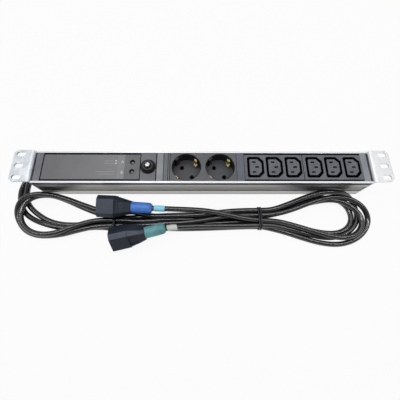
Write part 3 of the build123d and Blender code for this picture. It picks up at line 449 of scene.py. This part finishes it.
cord_a_points = [
    (-216.4, 2.5, 22.0), (-224.0, 2.5, 22.0), (-229.6, -0.8, 20.8), (-233.4, -7.6, 17.4),
    (-237.4, -14.6, 13.2), (-240.0, -22.0, 9.2), (-240.6, -30.0, 6.4), (-237.8, -38.4, 4.0),
    (-231.4, -45.6, 3.5), (-222.4, -52.6, 3.5), (-208.0, -61.2, 3.5), (-188.0, -66.8, 3.5),
    (-163.0, -67.0, 3.5), (-141.0, -62.8, 3.5), (-116.0, -65.2, 4.6), (-92.0, -63.8, 3.5),
    (-72.0, -62.3, 3.5), (-56.0, -65.3, 3.5), (-36.0, -66.2, 3.5), (0.0, -65.5, 3.5), (38.0, -63.5, 3.5),
    (75.5, -62.6, 4.6), (101.0, -64.2, 3.5), (121.0, -68.5, 3.5), (141.0, -73.8, 3.5), (160.3, -78.1, 3.5),
    (174.5, -79.0, 3.5), (187.0, -76.6, 3.5), (197.0, -70.0, 3.5), (202.2, -61.2, 3.5), (202.8, -51.2, 3.5),
    (199.4, -41.2, 3.5), (190.4, -32.8, 3.5), (174.5, -28.4, 3.5), (155.0, -28.2, 3.5), (134.0, -33.0, 3.5),
    (113.0, -40.6, 3.5), (95.0, -46.6, 3.5), (75.5, -49.2, 4.6), (50.0, -49.0, 3.5), (25.0, -50.2, 3.5),
    (0.0, -52.2, 3.5), (-30.0, -53.2, 3.5), (-50.0, -53.8, 3.5), (-70.0, -55.3, 3.5), (-92.0, -56.8, 3.5),
    (-116.0, -58.2, 4.6), (-138.0, -52.6, 3.5), (-162.0, -43.6, 3.6), (-184.0, -33.4, 3.9),
    (-205.0, -26.2, 5.8), (-220.0, -26.6, 8.4), (-231.4, -31.2, 10.6), (-239.4, -40.8, 11.4),
    (-241.8, -53.8, 10.8), (-237.4, -66.8, 9.8), (-225.2, -77.2, 10.2), (-208.0, -81.6, 11.0),
    (-189.0, -79.2, 11.2), (-169.0, -70.6, 10.8), (-150.0, -64.4, 10.4), (-134.0, -61.8, 10.0),
    (-116.0, -62.3, 10.8), (-98.0, -62.8, 9.8), (-80.0, -64.0, 9.8), (-66.0, -63.0, 9.8),
    (-53.0, -60.8, 7.4), (-40.0, -59.8, 4.6), (-22.0, -59.5, 3.5), (0.0, -58.9, 3.5), (30.0, -57.0, 3.5),
    (52.0, -56.0, 3.5), (75.5, -55.9, 4.6), (97.0, -53.4, 3.6), (118.0, -45.8, 3.6), (140.0, -38.8, 4.6),
    (160.0, -34.4, 7.4), (177.0, -33.4, 10.0), (192.4, -37.0, 10.5), (204.0, -45.4, 10.5),
    (211.2, -55.0, 10.2), (212.8, -65.4, 9.8), (208.6, -75.0, 9.6), (200.0, -82.2, 9.8),
    (187.7, -85.8, 10.5), (174.7, -85.4, 10.5), (160.0, -82.2, 10.5), (141.0, -76.0, 10.5),
    (121.0, -69.6, 10.5), (100.0, -64.0, 10.8), (75.5, -62.8, 12.2), (55.0, -61.2, 15.6),
    (35.0, -57.2, 17.6), (15.0, -52.8, 17.3), (-6.0, -49.4, 14.6), (-36.0, -48.9, 17.0),
    (-63.75, -49.4, 22.4), (-91.75, -48.2, 22.4),
]
cord_b_points = [
    (-216.4, 14.0, 14.0), (-225.6, 14.0, 14.0), (-232.4, 11.0, 13.8), (-237.4, 3.6, 13.2),
    (-241.4, -5.6, 12.2), (-245.6, -14.0, 10.6), (-248.4, -22.0, 8.4), (-249.2, -31.0, 5.6),
    (-246.6, -41.0, 3.8), (-239.6, -51.4, 3.6), (-226.0, -60.2, 4.4), (-207.0, -67.4, 8.4),
    (-188.0, -71.6, 7.4), (-165.0, -73.0, 4.0), (-142.0, -69.6, 3.5), (-116.0, -72.2, 4.6),
    (-92.0, -70.6, 3.5), (-72.0, -69.3, 3.5), (-54.0, -71.6, 3.5), (-30.0, -72.4, 3.5), (2.0, -71.8, 3.5),
    (40.0, -70.3, 3.5), (75.5, -69.4, 4.6), (90.0, -71.8, 3.5), (109.4, -77.0, 3.5), (129.0, -83.8, 3.5),
    (152.0, -91.0, 3.5), (172.9, -94.0, 3.5), (189.4, -92.2, 3.6), (205.4, -85.8, 4.0), (217.2, -75.6, 4.8),
    (223.2, -63.8, 6.2), (222.4, -53.0, 8.4), (216.6, -42.7, 10.6), (205.6, -34.6, 11.8),
    (192.0, -30.8, 12.0), (178.0, -30.2, 13.0), (162.0, -33.0, 12.6), (144.0, -38.8, 11.4),
    (123.1, -47.0, 10.8), (100.0, -53.8, 10.6), (75.5, -55.9, 11.6), (50.0, -55.6, 10.5),
    (25.0, -57.8, 10.4), (0.0, -62.6, 10.4), (-25.0, -65.6, 10.4), (-48.0, -66.6, 10.3),
    (-66.0, -68.4, 10.0), (-90.0, -69.6, 9.8), (-116.0, -69.1, 10.8), (-139.0, -70.0, 10.4),
    (-163.0, -75.2, 9.0), (-182.0, -79.6, 5.4), (-201.5, -82.0, 4.0), (-218.8, -81.4, 3.6),
    (-233.2, -75.8, 3.8), (-243.0, -65.4, 4.8), (-248.0, -52.9, 8.0), (-246.4, -40.2, 11.6),
    (-238.4, -31.0, 14.0), (-222.0, -27.0, 16.0), (-202.0, -28.0, 13.6), (-182.0, -33.2, 10.8),
    (-163.0, -40.2, 9.0), (-145.3, -45.6, 4.8), (-130.0, -50.0, 3.6), (-116.0, -51.6, 4.6),
    (-104.0, -50.0, 4.6), (-92.0, -49.6, 7.0), (-78.0, -54.6, 9.8), (-64.0, -56.8, 10.6),
    (-46.0, -56.6, 10.8), (-22.0, -55.8, 10.6), (2.0, -54.6, 10.5), (26.0, -50.8, 10.5),
    (52.0, -49.0, 10.6), (75.5, -49.0, 11.6), (93.0, -48.2, 11.0), (113.5, -41.4, 12.0),
    (134.0, -33.6, 15.6), (152.0, -28.0, 19.6), (168.0, -26.2, 21.4), (182.0, -25.8, 19.4),
    (193.5, -26.4, 14.4), (202.5, -29.6, 8.8), (208.0, -36.0, 4.8), (211.2, -45.0, 3.5),
    (211.6, -54.0, 3.5), (209.2, -62.4, 3.5), (203.6, -70.6, 3.5), (194.0, -78.2, 3.5), (181.0, -83.6, 3.5),
    (165.5, -85.0, 3.5), (149.0, -82.4, 3.6), (128.5, -76.9, 4.8), (109.0, -71.6, 6.6), (91.0, -69.2, 9.6),
    (75.5, -69.4, 11.6), (50.0, -69.8, 10.9), (25.0, -70.0, 11.0), (3.0, -70.3, 11.0), (-17.0, -70.6, 11.0),
    (-46.4, -73.85, 17.1), (-73.65, -80.3, 17.1),
]


def cord(name, points, radius):
    """A round cord along one smooth spline."""
    data = bpy.data.curves.new(name, "CURVE")
    data.dimensions = "3D"
    data.bevel_depth = radius * MM
    data.bevel_resolution = 8
    data.resolution_u = 8
    data.use_fill_caps = True
    spline = data.splines.new("NURBS")
    spline.points.add(len(points) - 1)
    for point, place in zip(spline.points, points):
        point.co = (*mm(*place), 1.0)
    spline.order_u = 3
    spline.use_endpoint_u = True
    data.materials.append(materials["cord"])
    piece = bpy.data.objects.new(name, data)
    bpy.context.scene.collection.objects.link(piece)
    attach(piece, BODY)
    return piece


def spline_line(piece):
    """The points that a cord's spline passes through."""
    bare = piece.data.copy()
    bare.bevel_depth = 0
    holder = bpy.data.objects.new("bare_line", bare)
    bpy.context.scene.collection.objects.link(holder)
    mesh = bpy.data.meshes.new_from_object(holder)
    line = [vertex.co.copy() for vertex in mesh.vertices]
    bpy.data.objects.remove(holder)
    bpy.data.curves.remove(bare)
    bpy.data.meshes.remove(mesh)
    return line


def add_mesh(name, vertices, faces, material, smooth=True):
    data = bpy.data.meshes.new(name)
    data.from_pydata(vertices, [], faces)
    data.update()
    for face in data.polygons:
        face.use_smooth = smooth
    data.materials.append(materials[material])
    piece = bpy.data.objects.new(name, data)
    bpy.context.scene.collection.objects.link(piece)
    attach(piece, BODY)
    return piece


def swept(name, line, radii, material, sides=24):
    """A tube along a line with a radius for each point."""
    vertices, faces = [], []
    for i, (place, radius) in enumerate(zip(line, radii)):
        ahead = (line[min(i + 1, len(line) - 1)] - line[max(i - 1, 0)]).normalized()
        side = ahead.cross(Vector((0, 0, 1))).normalized()
        up = side.cross(ahead)
        for k in range(sides):
            angle = 2 * math.pi * k / sides
            vertices.append(place + (side * math.cos(angle) + up * math.sin(angle)) * radius)
    for i in range(len(line) - 1):
        for k in range(sides):
            a, b = i * sides + k, i * sides + (k + 1) % sides
            faces.append((a, b, b + sides, a + sides))
    faces.append(tuple(range(sides))[::-1])
    faces.append(tuple(range((len(line) - 1) * sides, len(line) * sides)))
    return add_mesh(name, vertices, faces, material)


# Strain reliefs: where they start along the cord, how long they are, and their rings
RELIEF_START = 6.4
RELIEF_REACH = 21
RELIEF_RADIUS = 5.0
RELIEF_TAPER = 1.1
RELIEF_STEP = 0.5
RING_WIDTH = 1.25
RING_DEPTH = 0.22


def strain_relief(name, cord_line):
    """A tapered, ringed sleeve on the cord where it leaves the bracket."""
    line, radii, travelled = [], [], 0.0
    for a, b in zip(cord_line, cord_line[1:]):
        steps = max(1, round((b - a).length / (RELIEF_STEP * MM)))
        for k in range(steps):
            here = travelled + (b - a).length * k / steps
            painted_shade_inside = here - RELIEF_START * MM
            if 0 <= painted_shade_inside <= RELIEF_REACH * MM:
                share = painted_shade_inside / (RELIEF_REACH * MM)
                ring = RING_DEPTH if int(painted_shade_inside / (RING_WIDTH * MM)) % 2 else 0.0
                line.append(a.lerp(b, k / steps))
                radii.append((RELIEF_RADIUS - RELIEF_TAPER * share - ring * (1 - share)) * MM)
        travelled += (b - a).length
    return swept(name, line, radii, "grommet")


cord_a = cord("cord_a", cord_a_points, CORD_RADIUS)
cord_b = cord("cord_b", cord_b_points, CORD_RADIUS)
line_a, line_b = spline_line(cord_a), spline_line(cord_b)
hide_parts("cord_exit_high", "cord_tail_a", "cord_hank_left_loop", "cord_hank_bundle",
            "cord_hank_right_loop")
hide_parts("cord_exit_low", "cord_tail_b")
relief_a = strain_relief("strain_relief_a", line_a)
relief_b = strain_relief("strain_relief_b", line_b)


# Wire ties: two turns round the strands and the twisted ends

def closed_wire(name, x, outline, radius):
    """One turn of wire through the points of an outline, swaying a little along X."""
    data = bpy.data.curves.new(name, "CURVE")
    data.dimensions = "3D"
    data.bevel_depth = radius * MM
    data.bevel_resolution = 3
    data.resolution_u = 5
    spline = data.splines.new("NURBS")
    spline.points.add(len(outline) - 1)
    for i, (point, (y, z)) in enumerate(zip(spline.points, outline)):
        sway = 0.35 * math.sin(2 * math.pi * i / len(outline))
        point.co = (*mm(x + sway, y, z), 1.0)
    spline.order_u = 3
    spline.use_cyclic_u = True
    data.materials.append(materials["tie"])
    piece = bpy.data.objects.new(name, data)
    bpy.context.scene.collection.objects.link(piece)
    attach(piece, BODY)
    return piece


STRAND_RADIUS = 0.7
STRAND_OFFSET = 0.72
TWIST_HUMP = 1.1
TWIST_STEPS = 32


def twisted_ends(name, start, heading, length, turns):
    """The two ends of the wire twisted round each other and bent down."""
    ahead = Vector(heading).normalized()
    side = ahead.cross(Vector((0, 0, 1))).normalized()
    pieces = []
    for strand in range(2):
        line = []
        for i in range(TWIST_STEPS + 1):
            share = i / TWIST_STEPS
            angle = 2 * math.pi * turns * share + math.pi * strand
            middle = Vector(start) + ahead * length * share
            middle.z += TWIST_HUMP * math.sin(math.pi * share)
            ring = side * math.cos(angle) + Vector((0, 0, 1)) * math.sin(angle)
            line.append((middle + ring * STRAND_OFFSET) * MM)
        radii = [STRAND_RADIUS * MM] * len(line)
        pieces.append(swept("%s_%d" % (name, strand), line, radii, "tie", 10))
    return pieces


left_outline = [(-52, 0.8), (-60, 0.8), (-68, 0.8), (-74, 0.8), (-76.8, 1.6), (-76.9, 5.5), (-75.6, 10.5),
                (-73.0, 14.6), (-69.4, 15.5), (-65.6, 15.3), (-62.0, 15.2), (-58.2, 13.0), (-56.0, 9.2),
                (-52.0, 8.8), (-48.4, 8.2), (-47.6, 4.6), (-48.4, 1.2)]
right_outline = [(-49, 0.8), (-56, 0.8), (-63, 0.8), (-70, 0.8), (-73.4, 1.6), (-73.9, 6.0), (-73.8, 11.0),
                 (-72.4, 15.6), (-68.0, 16.0), (-63.0, 16.8), (-58.0, 16.2), (-51.0, 16.0), (-46.0, 15.4),
                 (-44.9, 10.5), (-44.9, 5.0), (-45.6, 1.4)]
tie_left = [closed_wire("tie_left_turn_%d" % turn, x, left_outline, 0.8)
            for turn, x in ((1, -116.6), (2, -114.9))]
tie_right = [closed_wire("tie_right_turn_%d" % turn, x, right_outline, 1.0)
             for turn, x in ((1, 74.2), (2, 76.9))]
tie_left += twisted_ends("tie_left_twist", (-115.7, -66.0, 16.0), (0.15, -1, 0), 8.0, 3)
tie_right += twisted_ends("tie_right_twist", (75.5, -47.5, 17.0), (0.1, -1, 0), 9.0, 3)
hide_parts("cord_tie_left")
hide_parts("cord_tie_right")


# Camera

def rotation_about(axis, angle):
    return Matrix.Rotation(math.radians(angle), 3, axis)


camera_data = bpy.data.cameras.new("camera")
camera_data.sensor_width = 36
camera_data.lens = 23.257
camera_data.clip_start = 0.01
camera = bpy.data.objects.new("camera", camera_data)
to_camera = rotation_about("Z", -0.0167) @ rotation_about("Y", 0.6573) @ rotation_about("X", -18.4142)
camera.matrix_world = Matrix.Translation(mm(-7.547, -145.066, 343.841)) @ to_camera.transposed().to_4x4()
bpy.context.scene.collection.objects.link(camera)
bpy.context.scene.camera = camera


# Floor, world and lamps

FLOOR_GLOW = 0.92
FLOOR_DROP = 0.0002
STUDIO_LEVEL = 0.5
CEILING_LEVEL = 0.22

floor_data = bpy.data.meshes.new("floor")
floor_data.from_pydata([(-4, -4, 0), (4, -4, 0), (4, 4, 0), (-4, 4, 0)], [], [(0, 1, 2, 3)])
floor = bpy.data.objects.new("floor", floor_data)
floor.location.z = -FLOOR_DROP
bpy.context.scene.collection.objects.link(floor)
floor_shader = Shader("pale_floor", 0.9)
floor_cloud = floor_shader.noise(300, 2)
floor_shader.colour(floor_shader.mix(floor_cloud, (0.86, 0.86, 0.86), (0.9, 0.9, 0.9)))
floor_tree = floor_shader.material.node_tree
rays = floor_shader.add("ShaderNodeLightPath")
seen = floor_shader.math("MAXIMUM", rays.outputs["Is Camera Ray"], rays.outputs["Is Glossy Ray"])
seen = floor_shader.math("MAXIMUM", seen, rays.outputs["Is Transmission Ray"])
glow = floor_shader.add("ShaderNodeEmission")
glow.inputs["Color"].default_value = (1, 1, 1, 1)
blend = floor_shader.add("ShaderNodeMixShader")
floor_shader.link(floor_shader.math("MULTIPLY", seen, FLOOR_GLOW), blend.inputs["Fac"])
floor_shader.link(floor_shader.surface.outputs["BSDF"], blend.inputs[1])
floor_shader.link(glow.outputs["Emission"], blend.inputs[2])
floor_shader.link(blend.outputs["Shader"], floor_tree.nodes["Material Output"].inputs["Surface"])
floor_data.materials.append(floor_shader.material)

world = bpy.data.worlds.new("world")
bpy.context.scene.world = world
world.use_nodes = True
sky = world.node_tree
background = sky.nodes["Background"]
background.inputs["Color"].default_value = (1, 1, 1, 1)


def sky_math(operation, first, second):
    node = sky.nodes.new("ShaderNodeMath")
    node.operation = operation
    sky.links.new(first, node.inputs[0])
    sky.links.new(second, node.inputs[1])
    return node.outputs["Value"]


def sky_remap(value, low, high, to_low, to_high):
    node = sky.nodes.new("ShaderNodeMapRange")
    for name, number in (("From Min", low), ("From Max", high), ("To Min", to_low), ("To Max", to_high)):
        node.inputs[name].default_value = number
    sky.links.new(value, node.inputs["Value"])
    return node.outputs["Result"]


# The surroundings are white in view and in reflections, weaker as light, and dim overhead
path = sky.nodes.new("ShaderNodeLightPath")
joined = sky_math("MAXIMUM", path.outputs["Is Camera Ray"], path.outputs["Is Transmission Ray"])
shown = sky_math("MAXIMUM", joined, path.outputs["Is Glossy Ray"])
level = sky_remap(shown, 0.0, 1.0, STUDIO_LEVEL, 1.0)
way = sky.nodes.new("ShaderNodeTexCoord")
rise = sky.nodes.new("ShaderNodeSeparateXYZ")
sky.links.new(way.outputs["Generated"], rise.inputs["Vector"])
ceiling = sky_remap(rise.outputs["Z"], 0.12, 0.5, 1.0, CEILING_LEVEL)
dimmed = sky_math("MULTIPLY", level, ceiling)
brightest = sky_math("MAXIMUM", dimmed, path.outputs["Is Camera Ray"])
sky.links.new(brightest, background.inputs["Strength"])


def softbox(name, place, size, power, target=(0, 0, 0)):
    """A rectangular lamp that points at a target and isn't seen itself."""
    data = bpy.data.lights.new(name, "AREA")
    data.shape = "RECTANGLE"
    data.size, data.size_y = size
    data.energy = power
    lamp = bpy.data.objects.new(name, data)
    lamp.location = place
    lamp.rotation_euler = (Vector(target) - Vector(place)).to_track_quat("-Z", "Y").to_euler()
    lamp.visible_camera = False
    bpy.context.scene.collection.objects.link(lamp)


softbox("overhead_strip", (0.0, -0.02, 1.2), (2.4, 0.09), 9.0, (0.0, -0.02, 0.0))
softbox("rear_ceiling", (0.0, 0.72, 1.3), (3.0, 0.9), 9.0, (0.0, 0.72, 0.0))
softbox("left_fill", (-1.2, -0.4, 0.8), (0.8, 0.8), 0.7)
softbox("small_box", (-0.335, 0.616, 1.3), (0.06, 0.06), 0.45, (-0.07, 0.0, 0.05))

bpy.context.scene.view_settings.view_transform = "Standard"


# Earth clips: a bent tip on the upper clip of each round socket

CLIP_TURN = 39
CLIP_HALF_WIDTH = 2.4
ROUND_HALF_PITCH = 21.7


def clip_tip(name, middle):
    """A thin square tab that leans into the recess from the clip."""
    turn = math.radians(CLIP_TURN)
    out, along = Vector((math.cos(turn), math.sin(turn), 0)), Vector((-math.sin(turn), math.cos(turn), 0))
    profile = [(16.9, 31.7), (16.0, 30.9), (14.6, 29.5), (13.7, 28.5), (13.4, 28.9), (14.2, 29.9),
               (15.7, 31.4), (16.7, 32.3)]
    vertices = []
    for side in (-CLIP_HALF_WIDTH, CLIP_HALF_WIDTH):
        for reach, z in profile:
            place = out * reach + along * side
            vertices.append(mm(middle + place.x, place.y, z))
    count = len(profile)
    faces = [tuple(range(count)), tuple(range(count, 2 * count))[::-1]]
    for i in range(count):
        j = (i + 1) % count
        faces.append((j, i, i + count, j + count))
    return add_mesh(name, vertices, faces, "clip", smooth=False)


low_corner, high_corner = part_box("round_socket_front")
round_middle = (low_corner.x + high_corner.x) / 2 / MM
clip_tip("earth_clip_tip_left", round_middle - ROUND_HALF_PITCH)
clip_tip("earth_clip_tip_right", round_middle + ROUND_HALF_PITCH)


# Print on the label: marks beside the lamps and plain rules

PRINT_LOW = 0.005
PRINT_HIGH = 0.035
LETTER_SIZE = 5.4
DOT_SIZE = (1.8, 1.6)
RULE_HEIGHT = 0.55


def print_bar(name, x, y, width, height, ink):
    """A printed bar on the label, its lower left corner at x and y."""
    low, high = face_top + PRINT_LOW, face_top + PRINT_HIGH
    corners = [(x, y), (x + width, y), (x + width, y + height), (x, y + height)]
    vertices = [mm(a, b, z) for z in (low, high) for a, b in corners]
    faces = [(3, 2, 1, 0), (4, 5, 6, 7), (0, 1, 5, 4), (1, 2, 6, 5), (2, 3, 7, 6), (3, 0, 4, 7)]
    return add_mesh(name, vertices, faces, ink, smooth=False)


def print_letter(name, letter, x, y, ink):
    """A printed letter on the label, its middle at x and y."""
    data = bpy.data.curves.new(name, "FONT")
    data.body = letter
    data.size = LETTER_SIZE * MM
    data.extrude = (PRINT_HIGH - PRINT_LOW) / 2 * MM
    data.align_x = "CENTER"
    data.align_y = "CENTER"
    data.materials.append(materials[ink])
    piece = bpy.data.objects.new(name, data)
    piece.location = mm(x, y, face_top + (PRINT_LOW + PRINT_HIGH) / 2)
    bpy.context.scene.collection.objects.link(piece)
    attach(piece, BODY)
    return piece


face_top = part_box("front_label")[1].z / MM
print_letter("mark_a", "A", -103.2, 6.6, "white_ink")
print_letter("mark_b", "B", -103.2, -8.2, "white_ink")
print_bar("status_dot_white", -112.6, 7.4, *DOT_SIZE, "white_ink")
print_bar("status_dot_yellow", -112.6, 3.9, *DOT_SIZE, "yellow_ink")
for row, (x, y, width) in enumerate(((-126.5, 7.9, 11.5), (-126.5, 4.4, 11.5), (-136.5, -7.2, 25.0),
                                     (-132.5, -10.6, 19.0))):
    print_bar("rule_%d" % row, x, y, width, RULE_HEIGHT, "pale_ink")
